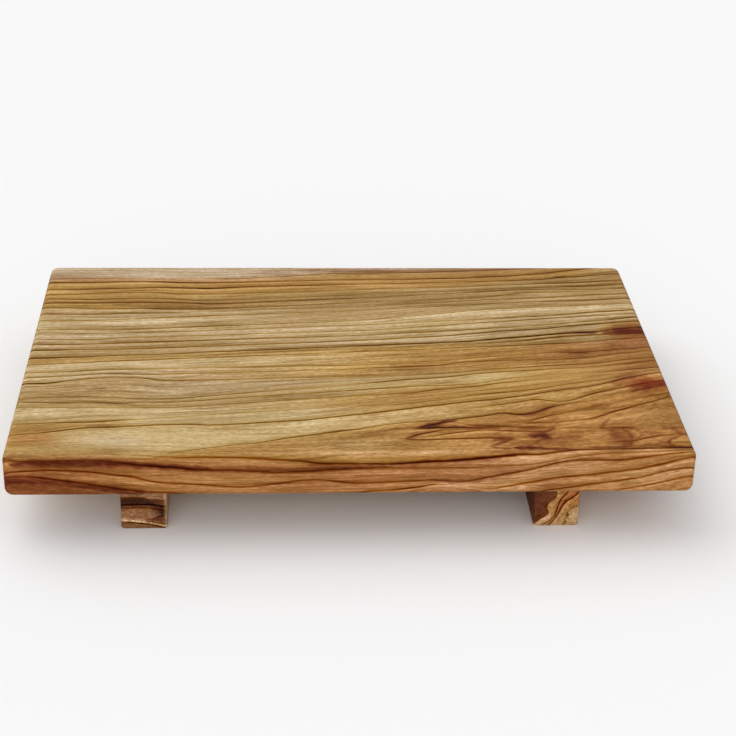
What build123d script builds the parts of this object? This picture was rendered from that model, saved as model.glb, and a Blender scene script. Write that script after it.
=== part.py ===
"""Sushi geta: an olive-wood serving plank on two cross runners, held by glued, fluted dowels.

The frame is in millimetres. +X runs along the plank, +Y from its front to its back and +Z up.
The origin lies on the table, under the middle of the plank.
"""

import os

from build123d import *

# Plank
plank_length = 300.0
plank_width = 200.0
plank_thickness = 20.0
plank_corner_radius = 4.0  # upright corners, seen from above
plank_top_rim_radius = 3.0
plank_under_rim_radius = 3.5

# Runners, the two bars that the plank stands on
runner_width = 20.0
runner_height = 20.0
runner_overhang = 49.0  # plank end to the runner's outer side
runner_setback = 6.0  # plank front to the runner's end, and the same at the back
runner_corner_radius = 1.2
runner_rim_radius = 1.0

# Dowels, three to a runner
dowel_diameter = 8.0
dowel_depth_in_plank = 12.0
dowel_depth_in_runner = 12.0
dowel_end_margin = 24.0  # runner's end to the axis of the outer dowels
dowel_end_chamfer = 1.0
flute_count = 20
flute_radius = 0.3

# Dowel holes
hole_clearance = 0.05  # round the dowel, for the glue film
glue_pocket = 0.8  # beyond each end of the dowel

# Places that follow from the sizes above
runner_length = plank_width - 2 * runner_setback
runner_centre_x = plank_length / 2 - runner_overhang - runner_width / 2
outer_dowel_y = runner_length / 2 - dowel_end_margin
joint_height = runner_height  # the plane where plank and runners meet
dowel_length = dowel_depth_in_plank + dowel_depth_in_runner
hole_depth_in_plank = dowel_depth_in_plank + glue_pocket
hole_depth_in_runner = dowel_depth_in_runner + glue_pocket

SIDES = {"left": -runner_centre_x, "right": runner_centre_x}
DOWEL_ROWS = {"front": -outer_dowel_y, "middle": 0.0, "back": outer_dowel_y}
STANDING = (Align.CENTER, Align.CENTER, Align.MIN)
HANGING = (Align.CENTER, Align.CENTER, Align.MAX)


def eased_block(length, width, height, corner_radius, top_radius, under_radius):
    """A block that stands on z = 0, with its upright corners and both rims rounded over."""
    block = Box(length, width, height, align=STANDING)
    block = fillet(block.edges().filter_by(Axis.Z), corner_radius)
    block = fillet(block.faces().sort_by(Axis.Z)[-1].edges(), top_radius)
    return fillet(block.faces().sort_by(Axis.Z)[0].edges(), under_radius)


def dowel_hole(depth, align):
    """A drill's cylinder, standing on the joint plane or hanging from it."""
    return Cylinder(dowel_diameter / 2 + hole_clearance, depth, align=align)


def make_plank():
    """The serving board, with blind dowel holes in its underside."""
    plank = eased_block(
        plank_length,
        plank_width,
        plank_thickness,
        plank_corner_radius,
        plank_top_rim_radius,
        plank_under_rim_radius,
    )
    plank = Pos(Z=joint_height) * plank
    for x in SIDES.values():
        for y in DOWEL_ROWS.values():
            plank -= Pos(x, y, joint_height) * dowel_hole(hole_depth_in_plank, STANDING)
    return plank


def make_runner(x):
    """One cross bar, with blind dowel holes in its upper side."""
    runner = eased_block(
        runner_width,
        runner_length,
        runner_height,
        runner_corner_radius,
        runner_rim_radius,
        runner_rim_radius,
    )
    runner = Pos(X=x) * runner
    for y in DOWEL_ROWS.values():
        runner -= Pos(x, y, joint_height) * dowel_hole(hole_depth_in_runner, HANGING)
    return runner


def make_dowel(x, y):
    """A fluted dowel with chamfered ends, half in the plank and half in the runner."""
    radius = dowel_diameter / 2
    dowel = Cylinder(radius, dowel_length, align=STANDING)
    dowel = chamfer(dowel.edges().filter_by(GeomType.CIRCLE), dowel_end_chamfer)
    flute = Cylinder(flute_radius, dowel_length, align=STANDING)
    dowel -= [place * flute for place in PolarLocations(radius, flute_count)]
    return Pos(x, y, joint_height - dowel_depth_in_runner) * dowel


def make_nodes():
    """Every piece of the board by its name."""
    nodes = {"plank": make_plank()}
    for side, x in SIDES.items():
        nodes[f"{side}_runner"] = make_runner(x)
        for row, y in DOWEL_ROWS.items():
            nodes[f"{side}_runner_{row}_dowel"] = make_dowel(x, y)
    return nodes


os.makedirs("parts", exist_ok=True)
for name, shape in make_nodes().items():
    export_step(shape, f"parts/{name}.step")
    print(name, "volume", round(shape.volume), "mm3")
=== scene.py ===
# %% [markdown]
# # A sushi geta in olive wood
# A geta is a serving board on two cross runners, named after the wooden sandal of the same build.
# The solid model gives every size. This file gives the wood: its growth lines, its heart streaks
# and its oiled skin. Lengths are millimetres and become metres where Blender reads them. The few
# names that end in `_m` are metres from the start.

# %% Load the solid model as the frame
import math

import bpy
import numpy as np
from mathutils import Matrix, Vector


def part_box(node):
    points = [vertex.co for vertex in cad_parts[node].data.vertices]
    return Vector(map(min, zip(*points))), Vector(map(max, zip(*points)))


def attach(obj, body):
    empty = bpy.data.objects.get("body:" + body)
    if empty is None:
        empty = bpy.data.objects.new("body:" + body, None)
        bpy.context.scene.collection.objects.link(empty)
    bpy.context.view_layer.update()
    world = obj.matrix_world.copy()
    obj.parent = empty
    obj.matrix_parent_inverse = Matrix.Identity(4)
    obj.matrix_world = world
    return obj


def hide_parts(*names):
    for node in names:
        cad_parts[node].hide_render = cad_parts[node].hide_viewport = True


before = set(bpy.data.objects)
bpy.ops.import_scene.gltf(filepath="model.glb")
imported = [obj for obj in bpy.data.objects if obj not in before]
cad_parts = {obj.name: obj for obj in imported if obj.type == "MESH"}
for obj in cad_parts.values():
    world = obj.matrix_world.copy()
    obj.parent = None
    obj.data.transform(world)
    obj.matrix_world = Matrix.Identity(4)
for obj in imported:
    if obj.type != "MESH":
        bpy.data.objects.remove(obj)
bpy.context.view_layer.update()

MM = 0.001

# %% [markdown]
# ## The camera
# The board is seen from a little left of the middle and about 27 degrees above, with a long lens.
# Its place was worked out from the four edges of the board: with the sizes known, the slopes of the
# edges fix the lens and the position. The roll is small but shows, so the camera is turned by three
# plain rotations instead of a Track To.

# %% Camera
picture_width_px = 736
focal_length_px = 1774.6
camera_place = (-35.24, -758.75, 422.64)
camera_yaw, camera_pitch, camera_roll = (math.radians(a) for a in (3.525, 27.266, 1.474))
nearest_view_m = 0.01

camera = bpy.data.objects.new("camera", bpy.data.cameras.new("camera"))
camera.data.lens = focal_length_px / picture_width_px * camera.data.sensor_width
camera.data.clip_start = nearest_view_m
camera.matrix_world = (
    Matrix.Translation([v * MM for v in camera_place])
    @ Matrix.Rotation(-camera_yaw, 4, "Z")
    @ Matrix.Rotation(math.pi / 2 - camera_pitch, 4, "X")
    @ Matrix.Rotation(camera_roll, 4, "Z")
)
bpy.context.scene.collection.objects.link(camera)
bpy.context.scene.camera = camera
bpy.context.scene.view_settings.view_transform = "Standard"
print("lens", round(camera.data.lens, 2), "mm")

# %% [markdown]
# ## One class for shader maths
# A wood shader is mostly sums: distances to a line, bell curves, soft masks. Wiring them by hand
# hides the formula, so a socket is wrapped in a small class. Writing `1 - mask` then adds the Math
# node, and the formula can be read as it is. Colours go through Mix and Combine Color nodes, because
# a Math node would turn them grey.

# %% Wire: a shader socket in a Python expression
class Wire:
    """An output socket of a material. Operators add Math nodes, and node() any other kind."""

    def __init__(self, socket):
        self.socket = socket

    def node(self, kind, settings, feeds, out=0):
        """Adds a node to this wire's own tree, as add_node() does."""
        return add_node(self.socket.id_data, kind, settings, feeds, out)

    def maths(self, operation, *values):
        names = ("Value", "Value_001")
        return self.node("ShaderNodeMath", {"operation": operation}, dict(zip(names, values)))

    def __add__(self, other):
        return self.maths("ADD", self, other)

    def __radd__(self, other):
        return self.maths("ADD", other, self)

    def __sub__(self, other):
        return self.maths("SUBTRACT", self, other)

    def __rsub__(self, other):
        return self.maths("SUBTRACT", other, self)

    def __mul__(self, other):
        return self.maths("MULTIPLY", self, other)

    def __rmul__(self, other):
        return self.maths("MULTIPLY", other, self)

    def __truediv__(self, other):
        return self.maths("DIVIDE", self, other)

    def __neg__(self):
        return self.maths("MULTIPLY", self, -1.0)

    def __abs__(self):
        return self.maths("ABSOLUTE", self)

    def exp(self):
        return self.maths("EXPONENT", self)

    def at_most(self, limit):
        return self.maths("MINIMUM", self, limit)

    def nearest_whole(self):
        return self.maths("FLOOR", self + 0.5)

    def bell(self, half_width):
        """A bell curve of this value: 1 at zero, about a third at the half width."""
        share = self / half_width
        return (-(share * share)).exp()

    def between(self, low, high):
        """A soft step: 0 below low, 1 above high."""
        settings = {"interpolation_type": "SMOOTHSTEP"}
        feeds = {"Value": self, "From Min": low, "From Max": high}
        return self.node("ShaderNodeMapRange", settings, feeds)

    def mixed(self, colour, amount, blend="MIX"):
        """This colour with another one laid over it."""
        settings = {"data_type": "RGBA", "blend_type": blend}
        feeds = {"Factor_Float": amount, "A_Color": self, "B_Color": colour}
        colour_result = 2
        return self.node("ShaderNodeMix", settings, feeds, colour_result)

    def noise(self, waves, detail=3.0, rough=0.55):
        """Cloud noise from 0 to 1 at this vector, with so many waves to a unit of each component."""
        feeds = {"Vector": self, "Vector_001": waves}
        place = self.node("ShaderNodeVectorMath", {"operation": "MULTIPLY"}, feeds)
        feeds = {"Vector": place, "Scale": 1.0, "Detail": detail, "Roughness": rough}
        return self.node("ShaderNodeTexNoise", {"noise_dimensions": "3D"}, feeds)

    def bump(self, strength, depth_m):
        """A surface normal, tilted as if this value were a height."""
        feeds = {"Strength": strength, "Distance": depth_m, "Height": self}
        return self.node("ShaderNodeBump", {}, feeds)


print("shader class ready")

# %% [markdown]
# ## Helpers for nodes
# A node takes three or four lines in Blender: make it, set it up, fill its sockets, link it. One
# function does all that for every kind of node. It sets a node up before it fills the sockets,
# because the settings decide which sockets the node has.

# %% Nodes and materials
def add_node(tree, kind, settings, feeds, out=0):
    """Adds a node, sets it up, feeds its inputs by name and returns one of its outputs as a Wire."""
    made = tree.nodes.new(kind)
    for name, value in settings.items():
        setattr(made, name, value)
    for name, value in feeds.items():
        socket = next(s for s in made.inputs if name in (s.identifier, s.name))
        if isinstance(value, Wire):
            tree.links.new(value.socket, socket)
        else:
            socket.default_value = value
    return Wire(made.outputs[out])


def attribute(tree, name, out):
    """What the mesh carries under that name: a colour (out 0), a vector (1) or a number (2)."""
    return add_node(tree, "ShaderNodeAttribute", {"attribute_name": name}, {}, out)


def new_material(name):
    """An empty Principled material: the material and its Principled node."""
    material = bpy.data.materials.new(name)
    material.use_nodes = True
    return material, material.node_tree.nodes["Principled BSDF"]


def link(shader, wires):
    """Links wires to the inputs of a shader by their names."""
    for name, wire in wires.items():
        shader.id_data.links.new(wire.socket, shader.inputs[name])


print("node helpers ready")

# %% [markdown]
# ## Floor and light
# The board stands on a white sweep. Two wide sun lamps work as very large soft boxes: the key is
# high on the left and a little behind, and a low fill comes from the front, because the runners'
# ends sit back under the edge. A sun lights the floor evenly, so the floor stays white out to the
# edges of the picture. The world fills the rest. Together they give a level surface just its own
# colour.

# %% Floor, lamps and world
floor_size_m = 8.0
floor_white, floor_roughness = 0.94, 0.9
world_light = 0.66
# share of the level light, height, bearing (0 is from the back, 90 from the left), width in degrees
SOFT_BOXES = {"key": (0.25, 50, 48, 60), "fill": (0.10, 20, 172, 50)}

floor_corners = floor_size_m / 2 * np.array([(-1, -1, 0), (1, -1, 0), (1, 1, 0), (-1, 1, 0)])
floor_mesh = bpy.data.meshes.new("floor")
floor_mesh.from_pydata(floor_corners.tolist(), [], [(0, 1, 2, 3)])
floor = bpy.data.objects.new("floor", floor_mesh)
bpy.context.scene.collection.objects.link(floor)
floor_material, floor_shader = new_material("white_floor")
floor_shader.inputs["Base Color"].default_value = (floor_white, floor_white, floor_white, 1)
floor_shader.inputs["Roughness"].default_value = floor_roughness
floor_shader.inputs["Specular IOR Level"].default_value = 0.0
floor_mesh.materials.append(floor_material)

for name, (level_share, height, bearing, width) in SOFT_BOXES.items():
    lamp = bpy.data.objects.new(name, bpy.data.lights.new(name, "SUN"))
    lamp.data.energy = level_share * math.pi / math.sin(math.radians(height))
    lamp.data.angle = math.radians(width)
    turn, tilt = math.radians(bearing), math.radians(height - 90)
    lamp.matrix_world = Matrix.Rotation(turn, 4, "Z") @ Matrix.Rotation(tilt, 4, "X")
    bpy.context.scene.collection.objects.link(lamp)

world = bpy.data.worlds.new("studio")
world.use_nodes = True
bpy.context.scene.world = world
path = add_node(world.node_tree, "ShaderNodeLightPath", {}, {})
rays = {output.name: Wire(output) for output in path.socket.node.outputs}
in_sight = rays["Is Camera Ray"] + rays["Is Glossy Ray"] + rays["Is Transmission Ray"]
background = world.node_tree.nodes["Background"]
background.inputs["Color"].default_value = (1, 1, 1, 1)
link(background, {"Strength": world_light + (1 - world_light) * in_sight.at_most(1.0)})
print("level light", round(world_light + sum(box[0] for box in SOFT_BOXES.values()), 2))

# %% [markdown]
# ## Blocks with eased edges
# The plank and the runners are planed blocks whose edges were rounded over by hand. A Bevel modifier
# would do, but the wood figure needs an even grid of points on every face. So each block is worked
# out as a surface: two flat grids, and between them a profile of two quarter circles and a straight
# wall, carried round the outline of the block.

# %% Grid of a block
corner_angles = np.radians((15, 30, 45))
rim_angles = np.linspace(0, np.pi / 2, 7)
spread_samples = 4001


def eased_spread(half, radius, steps):
    """Places from -half to half: by a table of (place, step), and by the angle round the corners.

    The running count of places is the sum of length / step. A place lies wherever it is whole.
    """
    straight = half - radius
    fine = np.linspace(-straight, straight, spread_samples)
    density = 1 / np.interp(fine, *np.transpose(steps))
    count = np.concatenate([[0], np.cumsum((density[1:] + density[:-1]) / 2 * np.diff(fine))])
    whole = np.linspace(0, count[-1], max(2, round(count[-1]) + 1))
    bent = straight + radius * np.tan(corner_angles)
    return np.concatenate([-bent[::-1], np.interp(whole, count, fine), bent])


def border_walk(nx, ny):
    """The border of a grid, counter-clockwise, as places along x and along y."""
    x, y = np.arange(nx), np.arange(1, ny - 1)
    walk_x = np.concatenate([x, np.full(ny - 2, nx - 1), x[::-1], np.zeros(ny - 2, int)])
    walk_y = np.concatenate([np.zeros(nx, int), y, np.full(nx, ny - 1), y[::-1]])
    return walk_x, walk_y


def grid_quads(ids):
    """The quads of a grid of point numbers."""
    return np.stack([ids[:-1, :-1], ids[1:, :-1], ids[1:, 1:], ids[:-1, 1:]], -1).reshape(-1, 4)


print("corners in", len(corner_angles), "steps on each side, rims in", len(rim_angles) - 1)

# %% [markdown]
# ## A rounded outline, drawn in towards the rims
# Seen from above, a block is a rectangle with round corners: the smaller rectangle on which the
# corner circles are centred, pushed out by their radius. Pushed out by less, the outline draws in
# evenly all round. A rounded rim is just that, a little more with each step up, so corners and rims
# meet without a seam.

# %% Eased block
def eased_block(low, high, corner, top_rim, under_rim, steps_x, steps_y, step_z):
    """Points and quads of a block from corner low to corner high, with rounded corners and rims.

    A point of the outline is core + (corner - inset) * normal, where core is the nearest point of the
    rectangle that the corner circles are centred on. At angle a of a rim of radius r, the inset is
    r * (1 - sin a) and the point lies r * (1 - cos a) below the face.
    """
    middle, half = (low + high) / 2, (high - low) / 2
    xs, ys = eased_spread(half[0], corner, steps_x), eased_spread(half[1], corner, steps_y)
    nx, ny = len(xs), len(ys)
    walk_x, walk_y = border_walk(nx, ny)
    sharp = np.stack([xs[walk_x], ys[walk_y]], 1)
    core = np.clip(sharp, corner - half[:2], half[:2] - corner)
    normal = (sharp - core) / np.linalg.norm(sharp - core, axis=1, keepdims=True)
    flat_x = np.clip(xs, corner - half[0], half[0] - corner)
    flat_y = np.clip(ys, corner - half[1], half[1] - corner)

    def face(rim, z):
        keep = (corner - rim) / corner
        grid = np.full((nx, ny, 3), z)
        grid[..., 0] = (flat_x + keep * (xs - flat_x))[:, None]
        grid[..., 1] = flat_y + keep * (ys - flat_y)
        grid[walk_x, walk_y, :2] = core + (corner - rim) * normal
        return grid

    wall_count = max(2, round(2 * half[2] / step_z))
    wall = np.linspace(half[2] - top_rim, under_rim - half[2], wall_count)[1:-1]
    out, back = rim_angles[1:], rim_angles[:0:-1]
    top_inset, under_inset = top_rim * (1 - np.sin(out)), under_rim * (1 - np.sin(back))
    top_drop, under_rise = top_rim * (1 - np.cos(out)), under_rim * (1 - np.cos(back))
    insets = np.concatenate([top_inset, np.zeros_like(wall), under_inset])
    heights = np.concatenate([half[2] - top_drop, wall, under_rise - half[2]])
    rings = np.empty((len(heights), len(core), 3))
    rings[..., :2] = core + (corner - insets[:, None, None]) * normal
    rings[..., 2] = heights[:, None]

    parts = [face(top_rim, half[2]), rings, face(under_rim, -half[2])]
    points = np.concatenate([part.reshape(-1, 3) for part in parts]) + middle
    top_ids = np.arange(nx * ny).reshape(nx, ny)
    ring_ids = nx * ny + np.arange(rings[..., 0].size).reshape(rings.shape[:2])
    under_ids = ring_ids.max() + 1 + top_ids
    rows = np.vstack([top_ids[walk_x, walk_y], ring_ids, under_ids[walk_x, walk_y]])
    closed = np.hstack([rows, rows[:, :1]])
    return points, np.concatenate([grid_quads(ids) for ids in (top_ids, closed, under_ids.T)])


print("eased block ready")

# %% [markdown]
# ## Sanded by hand
# A block that comes from a planer is dead flat, and one that was sanded by hand is not quite. Slow
# waves press its faces in by a tenth of a millimetre, so that a reflection wanders a little. The
# finished points become a mesh, which also carries what the wood figure says about each point.

# %% Sanding, and points into a mesh
hollow_lengths = (23.0, 41.0)
hollow_starts = ((0.3, 1.1, 2.0), (2.2, 0.7, 0.0))
face_power = 8


def hand_sanded(points, low, high, depth):
    """Presses shallow, wide hollows into a block, always inwards, as sanding by hand leaves them.

    Each coordinate moves towards the middle by up to the depth, by slow waves along the other two.
    """
    share = (points - (low + high) / 2) / ((high - low) / 2)
    first, second = (np.sin(points / n + s) for n, s in zip(hollow_lengths, hollow_starts))
    wave = first * second
    press = depth * (0.5 + 0.25 * (wave[:, [1, 2, 0]] + wave[:, [2, 0, 1]]))
    return points - np.sign(share) * np.abs(share) ** face_power * press


def new_piece(name, points, quads):
    """A smooth-shaded mesh object at the origin, with its place in its mesh."""
    mesh = bpy.data.meshes.new(name)
    mesh.from_pydata((points * MM).tolist(), [], quads.tolist())
    mesh.polygons.foreach_set("use_smooth", np.ones(len(quads), bool))
    piece = bpy.data.objects.new(name, mesh)
    bpy.context.scene.collection.objects.link(piece)
    print(name, len(points), "points,", len(quads), "quads")
    return piece


def carry(piece, **figure):
    """Stores a number or a vector per point on the mesh under each name, for the material to read."""
    for name, values in figure.items():
        kind, key = ("FLOAT", "value") if values.ndim == 1 else ("FLOAT_VECTOR", "vector")
        data = piece.data.attributes.new(name, kind, "POINT").data
        data.foreach_set(key, np.ascontiguousarray(values, dtype=np.float32).ravel())


print("hollows of", hollow_lengths, "mm")

# %% [markdown]
# ## Growth lines
# Olive shows its rings as dark, wandering lines. Here each line is charted by a few points: where it
# is along the wood, how far across, and how dark. Between two lines the wood is numbered evenly, so
# that line 7 has the number 7 all along its length. The mesh carries that smooth number, and the
# material draws a thin line wherever it is whole. So the lines are far finer than the mesh, and they
# keep running over the rounded edges.

# %% Reading a chart of growth lines
station_step = 0.25
least_gap = 0.16
beyond = 30.0
bell_reach = 4


def bend(points, stations, softness):
    """Height and darkness of a line: straight runs through its points, smoothed by a bell curve."""
    table = np.array(points, float)
    runs = np.array([np.interp(stations, table[:, 0], column) for column in table.T[1:]])
    reach = int(bell_reach * softness / station_step)
    bell = np.exp(-0.5 * (np.arange(-reach, reach + 1) * station_step / softness) ** 2)
    runs = np.pad(runs, ((0, 0), (reach, reach)), mode="reflect", reflect_type="odd")
    return np.array([np.convolve(run, bell / bell.sum(), "valid") for run in runs])


def line_heights(chart, along, softness):
    """Heights and darknesses of all lines at each place along the wood: arrays of lines by places."""
    stations = np.arange(along.min() - 1, along.max() + 2 + station_step, station_step)
    curves = np.array([bend(points, stations, softness) for _, _, points in chart])
    steps = least_gap * np.arange(len(chart))[:, None]
    curves[:, 0] = np.maximum.accumulate(curves[:, 0] - steps) + steps
    place = (along - stations[0]) / station_step
    first = place.astype(int)
    share = place - first
    here = curves[:, :, first] * (1 - share) + curves[:, :, first + 1] * share
    return np.moveaxis(here, 1, 0)


def outer_rows(rows):
    """Rows of heights with one more far outside each end."""
    return np.concatenate([rows[:1] - beyond, rows, rows[-1:] + beyond])


def growth(chart, along, across, softness):
    """The growth number at each point, with line spacing, darkness, band, share and width of the band.

    In a band of width h between two lines the number climbs by one, as a cubic whose slope at each
    line is one over that line's spacing, the mean of the bands on its two sides.
    """
    heights, darkness = line_heights(chart, along, softness)
    heights = outer_rows(heights)
    darkness = np.pad(darkness, ((1, 1), (0, 0)))
    bands = np.diff(heights, axis=0)
    spacing = np.concatenate([bands[:1], (bands[:-1] + bands[1:]) / 2, bands[-1:]])
    band = np.clip((heights <= across).sum(0) - 1, 0, len(bands) - 1)

    def pick(rows, shift=0):
        return np.take_along_axis(rows, (band + shift)[None], axis=0)[0]

    width = pick(bands)
    share = np.clip((across - pick(heights)) / width, 0, 1)
    leave = width / pick(spacing) * share * (1 - share) ** 2
    arrive = width / pick(spacing, 1) * share**2 * (1 - share)
    number = band + share**2 * (3 - 2 * share) + leave - arrive
    gap = pick(spacing) + share * (pick(spacing, 1) - pick(spacing))
    dark = pick(darkness) + share * (pick(darkness, 1) - pick(darkness))
    return number, gap, dark, band, share, width


print("growth lines are read every", station_step, "mm")

# %% [markdown]
# ## From the chart to the faces
# Two more things are needed from a chart. A line keeps its thickness on every face only if the
# spacing is known as it shows there: a sheet of growth that meets a face at a slant spreads out.
# And the fine grain has to follow the lines, so the distance across the wood is measured once more,
# along a few lines that run right through.

# %% Line spacing on a face, and distance along the lines
least_slope = 0.3
level_points = 3


def on_the_face(gap, slope, piece):
    """The line spacing as it shows on a piece, whose chart climbs by the given slope in space.

    It is divided by the slope's length, after its part along the surface normal is taken off.
    """
    normal = np.empty(slope.size)
    piece.data.vertices.foreach_get("normal", normal)
    normal = normal.reshape(slope.shape)
    along_face = slope - (slope * normal).sum(1, keepdims=True) * normal
    return gap / np.maximum(np.linalg.norm(along_face, axis=1), least_slope)


def straightened(chart, names, along, across, softness):
    """The distance across the wood, measured so that it stays the same along each named line."""
    through = [entry for entry in chart if entry[0] in names]
    heights = outer_rows(line_heights(through, along, softness)[0])
    starts = [np.mean([p[1] for p in points[:level_points]]) for _, _, points in through]
    level = outer_rows(np.array(starts))
    band = np.clip((heights <= across).sum(0) - 1, 0, len(level) - 2)
    low = np.take_along_axis(heights, band[None], axis=0)[0]
    high = np.take_along_axis(heights, band[None] + 1, axis=0)[0]
    return level[band] + (across - low) / (high - low) * (level[band + 1] - level[band])


print("fine grain follows the lines")

# %% [markdown]
# ## The wood's tones
# Between the lines the wood changes from pale straw to honey. Each band of the chart takes one of
# these tones, or several of them one after the other, and soft patches lay other tones over them.

# %% Tones of olive
TONES = {
    "grey": (0.560, 0.420, 0.275),
    "cream": (0.627, 0.467, 0.263),
    "rose": (0.505, 0.315, 0.120),
    # blush: pale wood along the front edge, partly a painted highlight on its rounded rim
    "blush_and_highlight": (0.648, 0.389, 0.185),
    "ash": (0.512, 0.362, 0.196),
    "pale": (0.575, 0.415, 0.207),
    "mid": (0.460, 0.304, 0.134),
    "dun": (0.376, 0.242, 0.095),
    "tan": (0.485, 0.290, 0.092),
    "brown": (0.355, 0.195, 0.060),
    "honey": (0.445, 0.245, 0.074),
    "orange": (0.455, 0.225, 0.065),
    "sienna": (0.355, 0.173, 0.048),
    "russet": (0.445, 0.210, 0.070),
    "brick": (0.376, 0.158, 0.056),
    "straw": (0.533, 0.284, 0.125),
    "wheat": (0.555, 0.395, 0.178),
    "umber": (0.310, 0.125, 0.043),
    "rust": (0.440, 0.118, 0.025),
}
# red over green, where the wood counts as straw-coloured, and how much more it takes to be red
straw_ratio, red_range = 1.65, 0.4


def tone_table(tones, stations):
    """Colours of one band along the wood, from one tone or from several at places along it."""
    stops = tones if isinstance(tones, dict) else {0: tones}
    colours = np.array([TONES[name] for name in stops.values()])
    return np.stack([np.interp(stations, list(stops), channel) for channel in colours.T], 1)


def band_tone(first, chart, along, band, share, width, softness):
    """The tone of each point's band, eased into the neighbouring bands close to the lines."""
    stations = np.arange(np.floor(along.min()), along.max() + 2)
    bands = [first, first] + [tone for _, tone, _ in chart] + [chart[-1][1]]
    tables = np.array([tone_table(tone, stations) for tone in bands])
    place = np.rint(along - stations[0]).astype(int)
    before = 0.5 * np.exp(-share * width / softness)[:, None]
    after = 0.5 * np.exp(-(1 - share) * width / softness)[:, None]
    here = tables[band + 1, place] * (1 - before - after)
    return here + tables[band, place] * before + tables[band + 2, place] * after


def redness(tone):
    """How red the wood is, from 0 in straw-coloured to 1 in reddish wood."""
    return np.clip((tone[:, 0] / tone[:, 1] - straw_ratio) / red_range, 0, 1)


def patch_weight(along, across, middle, reach, power=2):
    """A bell shape round a middle. A higher power gives it a flatter top."""
    x, y = (along - middle[0]) / reach[0], (across - middle[1]) / reach[1]
    return np.exp(-(x**power) - y**power)


def patched(tone, patches, along, across):
    """The tones with soft patches of other tones laid over them, one after the other."""
    for name, middle, reach, strength in patches:
        patch = strength * patch_weight(along, across, middle, reach)[:, None]
        tone = tone * (1 - patch) + np.array(TONES[name]) * patch
    return tone


print(len(TONES), "tones")

# %% [markdown]
# ## Heartwood
# The dark heartwood is another matter than the tones: it is a red-brown pigment that soaked into the
# wood. So it is kept apart, as a depth of pigment along strokes like those of a brush. Each stroke
# has a dark core and a faint halo, and its outline wavers as the fibres do. Two faint, broad strokes
# of the plank are partly a painted shadow of a chopstick that the scene leaves out.

# %% Strokes of heart pigment
core_share, core_power = 0.85, 1.8
halo_reach, halo_power = 3, 1.5
waver_height = 0.22
# a slow and a quick waver: their lengths along the wood and across it
slow_along, slow_across, slow_turn = 1.7, 2.9, 2.1
quick_along, quick_across = 0.9, 1.3


def stroke_weight(along, across, path):
    """A core and a halo round a path of straight runs, whose half width changes from point to point."""
    here = np.stack([along, across], 1)
    path = np.array(path, float)
    nearest = np.full(len(here), np.inf)
    for start, end in zip(path[:-1], path[1:]):
        run = (end - start)[:2]
        share = np.clip((here - start[:2]) @ run / (run @ run), 0, 1)
        distance = np.linalg.norm(here - start[:2] - share[:, None] * run, axis=1)
        nearest = np.minimum(nearest, distance / (start[2] + share * (end[2] - start[2])))
    halo = np.exp(-((nearest / halo_reach) ** halo_power))
    return core_share * np.exp(-(nearest**core_power)) + (1 - core_share) * halo


def heart_depth(along, across, strokes):
    """The depth of heart pigment, with some painted shadow: at each point that of the deepest stroke
    there.

    The strokes are moved across the wood by the sum of two sine waves, a slow one and a quick one.
    """
    slow = along / slow_along + slow_turn * np.sin(across / slow_across)
    quick = along / quick_along + across / quick_across
    moved = across + waver_height * (np.sin(slow) + np.sin(quick))
    return np.max([depth * stroke_weight(along, moved, path) for depth, path in strokes], axis=0)


print("a halo reaches", halo_reach, "times as far as its core")

# %% [markdown]
# ## The chart of the plank
# Across the plank the distance starts at the back edge, reaches the front edge at 200 and goes on
# down the front face to 220, because the lines run over that edge. Each entry has a name, the tone
# of the band in front of the line, and points of (along, across, darkness). Lines that begin inside
# the board, at the tip of a pointed arch, lie close together before it.

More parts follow.
